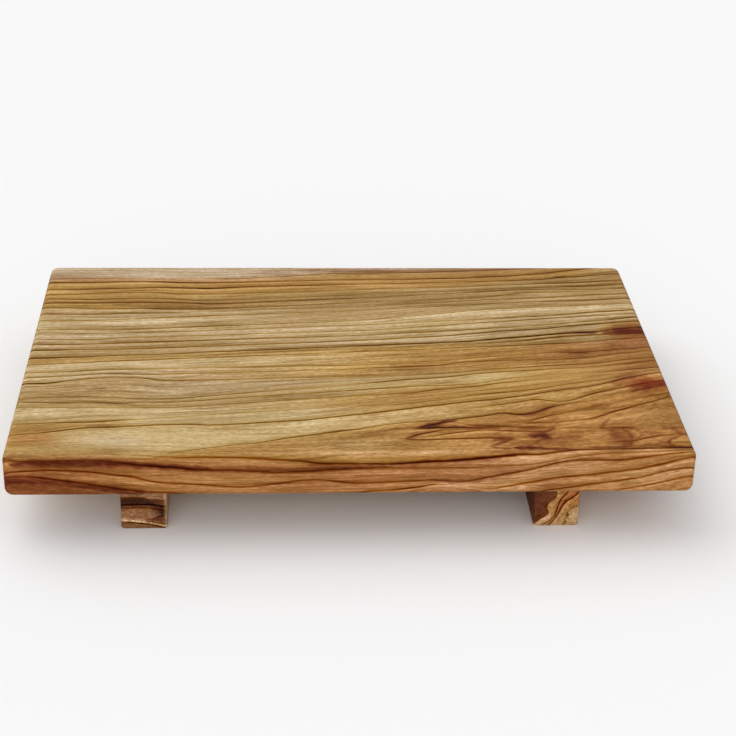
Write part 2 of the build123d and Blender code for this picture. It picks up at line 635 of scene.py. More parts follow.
# %% Growth lines of the plank
PLANK_LINES = [
    ("back band", {-60: "straw", 0: "tan", 40: "honey"}, [
        (-150, 17, .5), (-130, 16, .3), (-100, 16.5, .35), (-50, 16.2, .3), (-30, 14, .4),
        (0, 9.5, .4), (40, 8.5, .5), (85, 5, .5), (115, 1, .3), (150, -4, 0),
    ]),
    ("back dark", {-150: "tan", 60: "honey", 110: "honey", 128: "tan", 140: "mid"}, [
        (-150, 20.9, 1.4), (-140, 21.1, 1.4), (-125, 21, 1), (-100, 19.7, .8), (-92, 20, 1.1),
        (-84, 20.9, 1.1), (-70, 21.2, .9), (-45, 20.2, .8), (-5, 18, .6), (30, 17, .5),
        (65, 15.6, .7), (78, 13.6, .7), (90, 12.7, .7), (100, 10.8, .7), (110, 8.8, .7),
        (120, 6.3, .8), (130, 3.6, .8), (150, -1, .5),
    ]),
    ("third", {-150: "tan", 50: "honey", 100: "dun", 130: "dun", 150: "brown"}, [
        (-150, 30, .35), (-135, 30, .45), (-120, 29, .45), (-95, 27.3, .6), (-80, 27.6, .9),
        (-66, 28.6, 1), (-50, 26.5, .8), (13, 23, .35), (60, 20.5, .3), (90, 18.7, .5),
        (108, 17, .6), (117, 14, .9), (126, 13.6, .7), (138, 11, .5), (150, 9.5, .4),
    ]),
    ("fourth", {-150: "tan", 50: "dun", 100: "dun", 140: "brown"}, [
        (-150, 36, .4), (-138, 36, .4), (-120, 34, .3), (-108, 33, .35), (-94, 33.2, .3),
        (-84, 35, .35), (-55, 35, .3), (13, 29.5, .2), (70, 25.5, .15), (105, 22.3, .4),
        (125, 21, .5), (150, 17.5, .4),
    ]),
    ("fifth", {-150: "tan", -110: "brown", 30: "dun"}, [
        (-150, 41, .3), (-125, 41.6, .4), (-100, 40.6, .35), (-83, 40.8, .5), (-75, 43, .5),
        (-50, 42, .3), (13, 35.5, .2), (80, 29.5, .3), (108, 27.2, .5), (130, 25.5, .7),
        (150, 22.6, .6),
    ]),
    ("brown zone", {-112: "tan", -92: "brown", 30: "dun", 80: "mid"}, [
        (-150, 46, .6), (-140, 45.4, .9), (-125, 45.6, .8), (-105, 45, .6), (-80, 45.4, .7),
        (-66, 47, .7), (13, 39.5, .2), (70, 32.5, .4), (92, 29.2, .7), (110, 28.8, .5),
        (130, 30, .2), (150, 28, .3),
    ]),
    ("seventh", {-150: "mid", 40: "dun", 100: "mid"}, [
        (-150, 51.5, .4), (-135, 51.5, .4), (-120, 52.6, .4), (-100, 51.8, .5), (-88, 53, .7),
        (-76, 53, .6), (-66, 53.5, .4), (13, 45, .2), (70, 40, .3), (87, 36, .4), (98, 33, .35),
        (115, 32.5, .2), (150, 31, .2),
    ]),
    ("eighth", {-150: "pale", -100: "ash", 0: "mid", 60: "dun", 100: "mid"}, [
        (-150, 58.2, .3), (-125, 59, .3), (-108, 58.2, .35), (-90, 57.5, .15), (13, 50, .15),
        (75, 42, .35), (110, 39, .3), (128, 36.4, .45), (150, 34.6, .4),
    ]),
    ("ninth", {-150: "cream", 0: "mid", 80: "dun", 150: "mid"}, [
        (-150, 66, .2), (-140, 66.4, .25), (-115, 65.4, .2), (-100, 63.6, .3), (-82, 62, .5),
        (13, 54, .2), (75, 47, .35), (100, 44.5, .3), (125, 43.3, .5), (150, 39.6, .5),
    ]),
    ("tenth", {-150: "mid", 0: "pale", 100: "cream"}, [
        (-150, 76.6, .35), (-125, 76, .35), (-112, 77, .4), (-95, 75.6, .4), (13, 66, .15),
        (75, 53, .25), (110, 50, .2), (150, 46, .2),
    ]),
    ("eleventh", {-80: "ash", 60: "pale", 100: "ash"}, [
        (-150, 81, .05), (-120, 80.5, .05), (-95, 79.5, .2), (13, 71, .2), (78, 64.2, .4),
        (100, 61.5, .6), (120, 58, .7), (150, 54, .7),
    ]),
    ("twelfth", {-150: "ash", 40: "pale", 90: "ash"}, [
        (-150, 87, .3), (-120, 87.4, .35), (-105, 85, .3), (-92, 84.4, .3), (13, 77.5, .2),
        (75, 68, .25), (110, 63.2, .3), (150, 58.5, .3),
    ]),
    ("thirteenth", {-150: "ash", -100: "mid", 60: "ash"}, [
        (-150, 92, .5), (-140, 92.4, .6), (-125, 92, .5), (-108, 91, .6), (-94, 90, .6),
        (13, 82.5, .25), (50, 78.5, .45), (92, 73, .4), (115, 69, .45), (135, 65.5, .5),
        (150, 62, .5),
    ]),
    ("fourteenth", {-150: "mid", 20: "ash", 125: "ash", 134: "tan"}, [
        (-150, 98.6, .6), (-138, 98.4, .65), (-128, 97.6, .45), (-95, 97, .45), (13, 88, .4),
        (50, 83.5, .4), (80, 78, .6), (100, 75.6, .7), (110, 73, .75), (120, 71.2, .75),
        (138, 68.2, .75), (150, 66.8, .75),
    ]),
    ("long dark", {-150: "tan", 80: "dun", 125: "tan", 133: "brown"}, [
        (-150, 107.1, .85), (-138, 106.8, .75), (-125, 106, .6), (-108, 104.2, .6),
        (-90, 103.2, .4), (13, 94, .9), (50, 91, 1), (63, 89.6, 1.1), (86, 85.2, 1.4),
        (96, 83.4, 1.5), (104, 82, 1.6), (110, 81, 1.7), (121, 80.1, 1.6), (128, 79.2, .8),
        (133, 76.8, .5), (140, 75.4, .6), (150, 73.8, .6),
    ]),
    ("long dark twin", {-150: "tan", 40: "honey", 95: "dun", 125: "dun", 140: "sienna"}, [
        (-150, 110.4, 0), (-90, 106, 0), (13, 97, 0), (80, 90.6, .1), (90, 89, .6), (96, 87, .8),
        (104, 85.2, .8), (109, 84, .7), (121, 82.6, .5), (128, 81.9, .4), (133, 82.4, .3),
        (150, 80.8, .3),
    ]),
    ("sixteenth", {
        -150: "cream", -60: "pale", 20: "tan", 60: "honey", 80: "honey", 100: "sienna",
        150: "umber",
    }, [
        (-150, 114, .3), (-135, 112.6, .3), (-115, 110.2, .5), (-100, 109, .6), (13, 100, .3),
        (60, 96, .3), (97, 92.9, .5), (106, 92, .6), (112, 91.6, .4), (118, 90.6, .1),
        (130, 88.4, .2), (134, 87.7, .4), (150, 85.2, .3),
    ]),
    ("seventeenth", {-150: "pale", -110: "ash", 0: "tan", 30: "honey", 100: "sienna"}, [
        (-150, 122, .25), (-130, 120.6, .35), (-105, 118.5, .35), (-80, 117.5, .2), (0, 115, .2),
        (25, 112.6, .2), (50, 110, .25), (75, 105.5, .2), (100, 101.8, .2), (108, 101.8, .3),
        (113, 102.2, .4), (118, 101.4, .35), (127, 99.7, .4), (138, 98.3, .4), (150, 96.3, .35),
    ]),
    ("arch upper", {
        -150: "pale", -110: "ash", 0: "tan", 30: "brown", 60: "honey", 80: "honey", 108: "sienna",
    }, [
        (-150, 127, .2), (-130, 125, .3), (-112, 122.6, .35), (-95, 124, .35), (0, 119, .2),
        (14, 117.2, .3), (25, 116.9, .6), (37, 115.9, .6), (44, 115.2, .5), (49, 113.6, .4),
        (56, 111.6, .4), (75, 110, .3), (100, 109.2, .2), (108, 108.6, .3), (120, 106.3, .35),
        (130, 103.2, .35), (150, 99.4, .3),
    ]),
    ("arch", {
        -100: "mid", -80: "ash", 0: "mid", 45: "mid", 75: "tan", 110: "honey", 150: "sienna",
    }, [
        (-150, 132.6, .95), (-137, 132.3, .95), (-130, 130, .4), (-118, 127.2, .45),
        (-105, 126, .4), (-95, 126.8, .5), (-85, 130, .4), (0, 126.5, .15), (25, 125.2, .15),
        (40, 124.2, .25), (53, 122.4, .25), (75, 118.6, .2), (95, 115.8, .2), (114, 114.1, .3),
        (121, 113, .35), (130, 110.4, .35), (140, 108.8, .35), (150, 106.8, .35),
    ]),
    ("twentieth", {-150: "dun", 10: "wheat", 65: "wheat", 90: "tan", 110: "honey", 135: "sienna"}, [
        (-150, 148, .3), (-143, 146, .3), (-120, 145.5, .25), (-105, 146.6, .3), (-90, 148, .3),
        (-78, 147.5, .3), (0, 134.6, .2), (17.5, 131.3, .5), (25, 129.7, .5), (44, 127.5, .5),
        (53, 125.6, .55), (60, 123.8, .5), (72, 122.2, .5), (95, 119.5, .2), (113, 117.5, .1),
        (125, 115.6, .15), (135, 113.4, .35), (150, 110, .4),
    ]),
    ("twenty-first", {0: "mid", 25: "tan", 80: "tan", 120: "honey", 150: "straw"}, [
        (-150, 150.2, .3), (-140, 150.6, .4), (-131, 151.5, .4), (-120, 150.6, .3),
        (-112, 151, .45), (-104, 152, .45), (-95, 150.8, .3), (-80, 151, .3), (0, 140, .3),
        (10, 138.8, .4), (17.5, 138.4, .45), (25, 137.2, .4), (31, 136, .35), (40, 135.8, .4),
        (47, 135.4, .3), (62, 133.6, .2), (75, 128.6, .2), (95, 124.8, .2), (113, 123, .1),
        (125, 121.8, .2), (135, 120, .5), (150, 117.3, .5),
    ]),
    ("twenty-second", {-60: "pale", 0: "tan", 30: "honey", 60: "tan", 120: "honey"}, [
        (-150, 155, .2), (-130, 155.5, .2), (-110, 155.5, .2), (-80, 156, .25), (6, 145, .2),
        (19, 143.8, .25), (30, 142.8, .3), (35, 140.9, .4), (40, 139.4, .4), (47, 138.6, .4),
        (56, 136.6, .6), (62.5, 135.8, .6), (67.5, 134, .5), (75, 132.4, .5), (95, 128.8, .2),
        (113, 126.4, .1), (125, 124.8, .1), (135, 122.4, .1), (150, 119.6, .1),
    ]),
    ("spindle", {-105: "tan", -95: "pale", -20: "pale", 20: "tan", 120: "honey"}, [
        (-150, 171, .2), (-130, 169.5, .3), (-114, 169.2, .6), (-107, 168.1, .8), (-100, 167, .5),
        (-95, 166.7, .1), (0, 155, .1), (19, 154.2, .12), (31, 152.2, .12), (50, 147, .1),
        (62, 144.1, .45), (74, 142.2, .45), (81, 141, .45), (95, 137, .4), (113, 131.8, .2),
        (125, 128.4, .1), (135, 125.4, .1), (150, 121.2, .1),
    ]),
    ("long front", {
        -150: "tan", -125: "wheat", -20: "wheat", 40: "rose", 80: "tan", 120: "honey",
    }, [
        (-150, 181, .25), (-134, 178.4, .35), (-127, 176.6, .45), (-118, 174.4, .45),
        (-103, 173.5, .5), (-85, 171.8, .55), (-68, 171.2, .6), (-64, 172.4, .45), (-50, 171.4, .5),
        (-20, 168, .55), (0, 163.6, .5), (12, 161.2, .6), (20.6, 159.1, .7), (32.5, 156.4, .7),
        (45, 153.5, .6), (56, 150.9, .6), (65.6, 149.6, .6), (73, 147.8, .5), (81, 145.8, .5),
        (95, 141, .5), (108, 138, .4), (118, 134.6, .5), (125.5, 131.2, .7), (130, 128.9, .8),
        (135.5, 126.7, .9), (140, 125, .8), (150, 122, .7),
    ]),
    ("flank", {
        -150: "tan", -120: "wheat", -20: "wheat", 40: "rose", 70: "tan", 90: "honey", 150: "orange",
    }, [
        (-150, 190, 0), (-80, 184, 0), (0, 171, 0), (50, 159.5, 0), (62, 155.8, .2),
        (66.7, 154.8, .4), (73, 153.2, .5), (80, 151.2, .5), (86, 148.8, .6), (95, 152, .3),
        (102.7, 150.3, .5), (110.7, 145, .7), (116, 142.6, .7), (125, 139, .4), (132, 136, .2),
        (150, 131, .2),
    ]),
    ("cathedral", {-100: "wheat", -60: "tan", 15: "tan", 50: "honey", 70: "orange"}, [
        (-150, 198.6, 0), (-90, 199.2, 0), (-86, 198.9, .2), (-82, 198.4, .4), (-75, 196, .5),
        (-65, 193.5, .45), (-50, 189.8, .5), (-40, 188.8, .6), (-35, 186.4, .6), (-25, 183.5, .5),
        (-10, 179.5, .55), (0, 177.3, .5), (12, 173.7, .5), (20, 171.4, .4), (26.7, 170.3, .35),
        (33, 169.6, .35), (42, 168.7, .4), (47, 168, .8), (51, 166.9, .7), (56, 165.8, .6),
        (61, 164.7, .6), (64.4, 163, .6), (68, 161.8, .6), (71, 162.2, .6), (75.6, 163.8, .7),
        (79, 163.2, .7), (83, 162, .7), (87, 159.7, .7), (91, 157, .6), (100, 153.6, .3),
        (112, 150.5, .1), (150, 138, .1),
    ]),
    ("third tip upper", {0: "honey", 80: "orange"}, [
        (-86, 199.1, 0), (0, 180, 0), (30, 172.6, 0), (38, 170.3, 0), (46, 168.8, 0),
        (60, 168.8, 0), (77, 170.4, 0), (80.7, 170.4, .5), (82.7, 168.2, .5), (86.7, 166, .5),
        (90, 164.6, .4), (100, 161, .2), (131, 149, .1), (150, 143, .1),
    ]),
    ("third tip lower", {0: "honey", 80: "orange", 160: "sienna"}, [
        (-86, 199.1, 0), (0, 180.2, 0), (30, 172.8, 0), (38, 170.5, 0), (46, 169, 0), (60, 169, 0),
        (77, 170.6, 0), (80.7, 170.9, .5), (83, 171.3, .5), (87, 171.2, .4), (92, 170.6, .2),
        (106, 168.6, .3), (112, 165.7, .7), (117.3, 162.4, .8), (122, 159.8, .8),
        (126.7, 157.7, .8), (131, 155.6, .7), (140, 151, .5), (150, 146, .3),
    ]),
    ("first tip upper", {0: "honey", 80: "orange"}, [
        (-86, 199.2, 0), (0, 184, 0), (26, 177, 0), (29, 175.4, .3), (33, 174, .8), (38, 171.9, .9),
        (43, 169.8, .8), (46, 169.4, .2), (49, 171.4, 0), (55, 173.4, .3), (64.4, 174.4, .6),
        (70, 175, .6), (75.6, 175.6, .6), (85.6, 175.8, .6), (92, 176.2, .3), (112, 176.7, .5),
        (121, 176.5, .6), (125.3, 176.8, .4), (130, 177.8, 0), (150, 176, 0),
    ]),
    ("first tip lower", {0: "honey", 80: "orange"}, [
        (-86, 199.2, 0), (0, 184.2, 0), (26, 177.2, 0), (29, 175.8, .4), (34, 175.6, .9),
        (45, 175.4, .9), (53, 175.8, .8), (60, 176.2, .4), (66, 176, .1), (85, 176.6, .1),
        (112, 177.2, 0), (150, 178, 0),
    ]),
    ("second tip upper", {0: "honey", 80: "orange"}, [
        (-86, 199.4, 0), (0, 192, 0), (21, 186, 0), (24, 185.2, .6), (26.7, 182.8, .7),
        (30, 181.4, .7), (33.3, 180, .7), (36.7, 178.6, .6), (39.5, 177.6, .4), (44, 176.8, 0),
        (55, 177, 0), (80, 177.6, 0), (105, 178.4, 0), (150, 179, 0),
    ]),
    ("second tip inner", {0: "honey", 80: "orange"}, [
        (-86, 199.4, 0), (0, 192.2, 0), (21, 186.2, 0), (30, 184.6, 0), (35, 183.4, .1),
        (38.3, 182.2, .5), (42.2, 180.8, .6), (46, 179.8, .6), (51, 178.9, .6), (56, 177.9, .6),
        (61.7, 177.6, .7), (67, 178, .8), (73, 178.8, .6), (80, 178.9, .6), (86, 179.4, .2),
        (105, 180, 0), (150, 180, 0),
    ]),
    ("second tip lower", {0: "honey", 80: "orange"}, [
        (-86, 199.5, 0), (0, 192.3, 0), (21, 186.4, 0), (24, 185.6, .6), (31, 186.1, .7),
        (36.7, 185.8, .7), (45, 185.3, .6), (54, 185, .6), (61, 184.5, .5), (66, 185.2, .2),
        (80, 188, 0), (105, 189, 0), (124, 188, .3), (128, 186.2, .4), (133, 184.2, .4),
        (139, 182.9, .3), (150, 182, .2),
    ]),
    ("front edge", {25: "russet", 50: "straw", 95: "straw", 110: "russet", 150: "straw"}, [
        (-150, 200, 0), (-86, 199.6, .2), (-75, 199.6, .4), (-50, 200.2, .35), (-25, 202, .4),
        (-14, 203.9, .5), (0, 204, .5), (20, 204.2, .9), (31, 203.2, 1), (42, 202.8, 1),
        (50.6, 201.9, .9), (59, 200.8, .9), (67, 199.5, .9), (73, 198.8, .8), (79, 199.2, .5),
        (84, 198.6, .5), (89.4, 197.2, .6), (97, 195.6, .6), (118, 194.8, .6), (150, 194.6, .7),
    ]),
    ("bold", {-40: "russet", 5: "brick", 55: "brick", 70: "umber", 92: "umber", 120: "russet"}, [
        (-150, 201, .4), (-142, 201.6, .2), (-130, 201.6, .2), (-110, 201.4, .2), (-100, 202.4, .3),
        (-92, 203.8, .45), (-80, 205, .5), (-68, 206.6, .4), (-50, 207, .35), (-30, 208.2, .3),
        (-10, 206.8, .5), (0, 206.3, .5), (10, 205.8, .4), (20, 205.8, .25), (37, 205.8, .25),
        (48, 206.2, .2), (70, 205.2, .2), (80, 204.4, .2), (90, 202.2, .2), (100, 200, .15),
        (110, 198.6, .1), (150, 196.2, .2),
    ]),
    ("second front", {
        -150: "russet", 0: "brick", 20: "russet", 40: "straw", 90: "straw", 120: "russet",
    }, [
        (-150, 208, .4), (-143, 206.9, .5), (-130, 206.3, .5), (-115, 207, .4), (-97, 209.3, .5),
        (-85, 212.5, .45), (-70, 213.5, .35), (-48, 215.6, .35), (-35, 214, .35), (-22, 211.9, .4),
        (-10, 211.8, .4), (-4, 213.3, .4), (10, 213.6, .35), (20, 213, .35), (34, 212.3, .35),
        (48, 213.2, .35), (53, 212.5, .35), (59, 210.8, .35), (70, 208.6, .55), (80, 206.3, .5),
        (89, 203.6, .5), (97, 202.4, .45), (110, 202.6, .35), (117, 202.8, .42), (125, 201.4, .42),
        (133, 200, .35), (150, 197.2, .35),
    ]),
    ("third front", {
        20: "russet", 40: "straw", 70: "straw", 85: "brick", 105: "russet", 130: "straw",
    }, [
        (-150, 209, .4), (-138, 209.3, .4), (-120, 212, .45), (-105, 215, .5), (-88, 217.4, .5),
        (-50, 218.6, .3), (0, 218, .3), (20, 216.7, .5), (31, 215.4, .6), (34, 214.2, .5),
        (40, 214.4, 0), (60, 217, .1), (64, 216.4, .3), (68, 215.4, .45), (76, 213.8, .45),
        (89, 211.4, .4), (105, 209.8, .35), (125, 207.2, .45), (133, 205.2, .45), (142, 202.7, .35),
        (150, 201, .35),
    ]),
    ("fourth front", {90: "russet", 150: "straw"}, [
        (-150, 222, 0), (0, 222, 0), (70, 219, .2), (86, 217.5, .45), (97, 216.2, .45),
        (107, 214.3, .45), (117, 213, .45), (127, 211.3, .4), (133, 209.2, .35), (142, 207.2, .35),
        (150, 206.4, .35),
    ]),
    ("fifth front", "russet", [
        (-150, 226, 0), (60, 226, 0), (110, 219, .2), (130, 215, .4), (140, 212.6, .4),
        (150, 210.2, .4),
    ]),
]
# the lines that the fine grain follows
THROUGH_LINES = (
    "back dark", "brown zone", "tenth", "fourteenth", "long dark", "arch", "twentieth",
    "long front", "bold", "third front",
)
print(len(PLANK_LINES), "growth lines")

# %% [markdown]
# ## Patches and strokes of the plank
# What the lines leave out was charted in the same measure: worn and stained spots, a pale band on the
# rounded front edge that is partly a painted highlight, and the heart streaks that make olive look
# like marble. Most of them lie in the front right part, where the saw went through a knot. Two faint,
# broad strokes there are partly a painted shadow of a chopstick that the scene leaves out.

# %% Patches and heart strokes of the plank
# tone, (along, across), (half length, half width), strength
PLANK_PATCHES = [
    ("orange", (-138, 184), (12, 6.5), 1),
    ("grey", (-103, 186), (12, 5), .5),
    ("tan", (-116, 197), (36, 4), .9),
    # along the rounded front edge: partly pale wood, partly a painted highlight
    ("blush_and_highlight", (20, 197.4), (42, 1.8), .7),
    ("blush_and_highlight", (80, 196.8), (10, 1.1), .6),
    ("blush_and_highlight", (132, 197), (18, 1.6), .5),
    ("straw", (84, 201), (12, 1.5), .5),
    ("straw", (54, 215.2), (20, 1.2), .5),
    ("brick", (60, 202.8), (14, 1.2), .7),
    ("brick", (44, 217.5), (24, 1.2), .8),
    ("orange", (134, 130.6), (6, 1.3), .9),
    ("brown", (92, 7), (26, 4), .7),
    ("rust", (141, 134), (9, 6), 1),
    ("rust", (143, 78.4), (10, 3.6), 1),
    ("wheat", (0, 190), (16, 4), .5),
]
# depth of pigment, points of (along, across, half width)
PLANK_STROKES = [
    (1.4, [
        (30, 175.4, .5), (33, 174.4, 1.5), (36.7, 172.8, 2.1), (40, 171, 1.7), (43, 169.6, 1),
        (47, 168.2, .6),
    ]),
    (.9, [
        (29.5, 175.6, .7), (34, 175.6, 1.2), (40, 175.4, 1), (46, 175.4, 1.1), (53, 175.7, 1.3),
        (58, 175.6, 1.3), (62, 175.3, .9),
    ]),
    (.6, [(50, 174.6, .6), (56, 175.4, 1.7), (61, 175.4, 1.8), (65, 175.4, 1)]),
    (.25, [(20, 175, 1.2), (26, 175.2, 1.4), (31, 175, 1.2)]),
    (.7, [(24, 185.2, .5), (26, 184.4, 1.2), (27.4, 182.8, .8), (30, 181.4, .5)]),
    (.4, [(60, 177.6, .5), (66, 177.9, .8), (71, 178.6, .5)]),
    (1.3, [(62.6, 186.6, .9), (66, 186.2, 1.9), (69.6, 185.6, 1.4)]),
    (.9, [
        (67.8, 188, .8), (63.9, 190, .7), (60.4, 192, .7), (62.4, 193, .7), (66, 194.2, .8),
        (69, 194.2, .6),
    ]),
    (1.8, [
        (70.5, 194, .6), (74, 193.6, 1.4), (79, 193.8, 1.2), (85, 194.5, .7), (92, 195, .6),
        (97, 195.3, .4),
    ]),
    (.9, [(76, 192.6, 1), (79, 190.4, .8), (82, 187.6, 1)]),
    (.3, [(60, 197, .8), (71, 197.3, 1.6), (84, 197, .9)]),
    (1.6, [(78.6, 182.7, .8), (81, 182.8, 2.2), (84, 182, 3), (85, 184, 2.3), (87, 185.4, .9)]),
    (1, [(84, 180.6, 1.8), (87, 178.6, 1.2), (90, 176.6, .8)]),
    # a faint, broad haze: partly heart pigment, partly a painted shadow of a chopstick that the scene
    # leaves out
    (.2, [(88, 177.6, 1.4), (91, 172, 3.2), (92, 166, 2.8)]),
    (.8, [
        (75.6, 163.9, .6), (79, 163.9, 1.2), (82.6, 163.2, 1.3), (86.7, 160.4, 1.4), (90, 158, 1.2),
        (93, 155, .8),
    ]),
    # a faint, broad haze: partly heart pigment, partly a painted shadow of a chopstick that the scene
    # leaves out
    (.2, [(66, 157, 1.5), (76, 157, 3), (87, 154, 3), (91, 157, 2.2)]),
    (.45, [(70, 190, 1.5), (80, 190, 2.5), (90, 188, 4), (98, 184, 4)]),
    (1.1, [(108, 81.4, .4), (112, 80.8, .8), (117, 80.4, 1), (121, 80.1, .8), (125, 79.6, .4)]),
    (1.6, [
        (127.6, 80, .3), (132, 79.7, 1), (136, 79.2, 2), (142, 78.7, 2.8), (148, 78.2, 3),
        (156, 78, 3),
    ]),
    (1.1, [(132.6, 77, .6), (137, 76, .9), (143, 75.2, 1), (151, 74, 1)]),
    (.5, [(136, 72, 1.6), (142, 71.4, 2.2), (151, 70.6, 2.2)]),
    (.8, [(108, 101.6, .6), (111, 102, 1.3), (113.5, 102.2, 1.5), (116.5, 102, .8)]),
    (.25, [(105, 102, 2.5), (113, 102.4, 3.2), (118, 101.5, 2)]),
    (.3, [(128, 95.5, 1.5), (132, 94.2, 2.4), (136, 94.6, 1.5)]),
    (.3, [(126, 99.8, .7), (132, 98.9, 1.1), (138, 98.2, .9), (147, 96.8, .6)]),
    (.3, [(134, 114, .7), (140, 112.6, 1.4), (147, 111.6, 1.7), (151, 111, 1.7)]),
    (.45, [(125.5, 127.6, .5), (129, 125.8, 1.2), (133, 124.2, 1.6), (137, 123, .7)]),
    (1.1, [
        (130, 136.4, .5), (134, 135.3, .8), (137, 134.1, 1), (141, 132.2, 1.2), (146, 131.8, 1.2),
        (151, 131.4, 1),
    ]),
    (1.15, [
        (132, 141.5, .8), (136, 139.8, 1.5), (139, 137.6, 2.2), (142, 136.4, 2.2), (146, 135, 1.6),
        (151, 134, 1.2),
    ]),
    (.85, [(133, 138, 2), (140, 135.4, 3), (148, 133.6, 3)]),
    (.6, [(126, 133, 3), (132, 128, 4), (138, 129, 5), (137, 138, 4)]),
    (.3, [(111, 156, 1.2), (115, 155.4, 2), (119, 154.6, 1.2)]),
    (.7, [(116, 168.3, .6), (114, 171, 1.2), (112.4, 174, 1), (111.6, 176.4, .6)]),
    (.8, [
        (112, 176.7, .6), (117, 176.8, .7), (121.5, 176.5, .6), (125.3, 176.6, .6), (127, 178, .6),
        (128.6, 180.6, .6), (128.4, 183, .6), (126, 185.6, .6), (124, 187, .5),
    ]),
    (.9, [
        (121, 177.8, 1), (123, 181, 1.5), (123.2, 185, 1.6), (122.2, 189, 1.7), (121.4, 192.6, 1.2),
    ]),
    (.85, [(115.5, 178.6, 1.6), (118, 183, 4.2), (119.5, 188, 4.5), (119, 192.4, 2)]),
    (.45, [(129.5, 180, .8), (133, 181, 1.8), (137, 181, 1.2)]),
    (.6, [(143.4, 177, 1.2), (145, 180, 1.9), (147, 182, 1.4), (151, 180, 1.6)]),
    (.35, [(139.5, 176.6, .8), (143, 176, 1.4), (148, 177, 2)]),
    (.85, [
        (146, 183.2, .5), (143, 184.4, .7), (140.2, 186.6, .7), (138.9, 189.2, .8),
        (139.4, 191.6, .7), (141.4, 193.2, .6),
    ]),
    (.5, [(133, 191, .8), (136, 189, 1.6), (138, 190.6, 1.2)]),
    (.5, [(124, 188, .5), (128, 186, .6), (133, 184, .6), (138.7, 182.8, .5), (144, 182.4, .4)]),
    (.8, [
        (104, 193, .5), (110, 193.6, .8), (119, 193.2, .9), (124, 191.9, .6), (132.7, 191.5, .6),
        (136, 192.4, .7), (139.3, 193.2, .9), (145, 193.7, .8), (151, 193.9, .7),
    ]),
    (1.4, [(-156, 200.3, 1.1), (-150, 200.3, .9), (-147, 200.4, .6), (-143, 200.8, .3)]),
    (1.7, [
        (-146, 203.4, .5), (-141, 202.9, 1.6), (-130, 202.8, 1.9), (-118, 202.6, 2),
        (-106, 202.8, 2), (-97, 203.5, 1.6), (-88, 204.4, 1.2), (-75, 205.2, 1.1), (-62, 206.2, .9),
    ]),
    (.8, [
        (-100, 204.2, .4), (-80, 205.6, .8), (-66, 206.3, 1.2), (-50, 206.5, 1.4),
        (-38, 206.8, 1.3), (-28, 206.8, 1.1), (-10, 206, 1.1), (5, 205.2, .6),
    ]),
    (.85, [(15, 204.5, .6), (30, 203.6, .9), (45, 202.7, 1), (58, 201.4, .9), (70, 199.7, .6)]),
    (.5, [(34, 212.6, .5), (46, 213.3, .8), (53, 212.6, .9), (60, 211, .8), (72, 208.4, .5)]),
    (.9, [(-20, 204, .3), (-8, 204.9, .8), (2, 205, .9), (12, 205, .7), (20, 204.8, .3)]),
    (1.5, [
        (-156, 211.4, 2.6), (-135, 211.8, 2.4), (-125, 213, 2), (-115, 214.4, 1.6),
        (-102, 216.6, 1.2), (-84, 218.8, .5),
    ]),
    (.85, [(-156, 215, 5), (-134, 215.6, 4.4), (-118, 217.4, 2.4), (-104, 219, 1)]),
    (.6, [(-152, 208.4, 1.1), (-135, 208.4, 1), (-112, 209, .5)]),
    (.4, [(-117, 138.4, .8), (-114, 137.8, 1.6), (-111, 137.3, 1)]),
    (.5, [(-112.6, 137.2, .5), (-110.8, 137.2, .5)]),
    (.25, [(-156, 14.2, 2), (-140, 14.6, 1.6), (-128, 15.2, .7), (-116, 15.6, .3)]),
    (.25, [(-38, 8, 2.5), (-30, 10, 3.5), (-24, 11, 2.5)]),
    (.4, [(-20, 6, 1.5), (10, 6, 2.5), (40, 6, 2), (60, 5.6, 2), (84, 4, 1.6), (110, 2.5, 1.4)]),
    (.6, [(114.6, 14.6, .6), (116.4, 14.4, .9), (119, 13.9, .5)]),
    (.3, [(-149, 57, .6), (-144, 57.4, 2), (-138, 58.4, .4)]),
    (.25, [(-150, 91, .6), (-144, 91, 1.4), (-136, 91.6, .4)]),
    (.25, [(-112, 45.6, .3), (-101, 45, 2), (-88, 45.4, .3)]),
    (.3, [(-115, 172, 1), (-109, 172.6, 1.3), (-105, 173, .8)]),
    (.3, [(-15, 190.6, .4), (-5, 191.4, .5)]),
    (.3, [(-40, 196, .4), (-25, 196.2, .5)]),
    (.35, [(-152, 198.5, 1.2), (-125, 198.8, 1.5), (-100, 199.2, 1)]),
]
print(len(PLANK_PATCHES), "patches and", len(PLANK_STROKES), "strokes")

# %% [markdown]
# ## The plank
# The chart was drawn on the top and the front face, but wood is solid: a line goes in as a sheet. The
# sheets lean forward as they go down, the more so towards the front, so a point at some depth takes
# the chart's place a little further forward. That one rule gives the back, the ends and the underside
# a figure that fits the top.

# %% Plank surface
plank_corner, plank_top_rim, plank_under_rim = 4.0, 3.0, 3.5
# places and mesh steps: finer where the figure is dense, towards the right (+X) and the front (-Y)
plank_steps_x = ((-150, 2.2), (0, 2.2), (20, 0.85), (150, 0.85))
plank_steps_y = ((-100, 0.85), (-20, 0.85), (0, 2.0), (100, 2.0))
plank_step_z = 1.0
plank_bend = 2.0
plank_softness = 1.3
sanding_depth = 0.12
lean_back, lean_front = 0.45, 1.0
end_grain_depth = 1.2
end_grain_shade = np.array((0.80, 0.76, 0.72))
# where the lines curl, and where the texture is calm: middle, then half length and half width
swirl_middle, swirl_reach, swirl_power = (115, 178), (42, 16), 4
calm_middle, calm_reach = (-80, 184), (50, 14)

low, high = (np.array(v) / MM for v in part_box("plank"))
rims = plank_corner, plank_top_rim, plank_under_rim
points, quads = eased_block(low, high, *rims, plank_steps_x, plank_steps_y, plank_step_z)
points = hand_sanded(points, low, high, sanding_depth)
plank = new_piece("olive_plank", points, quads)

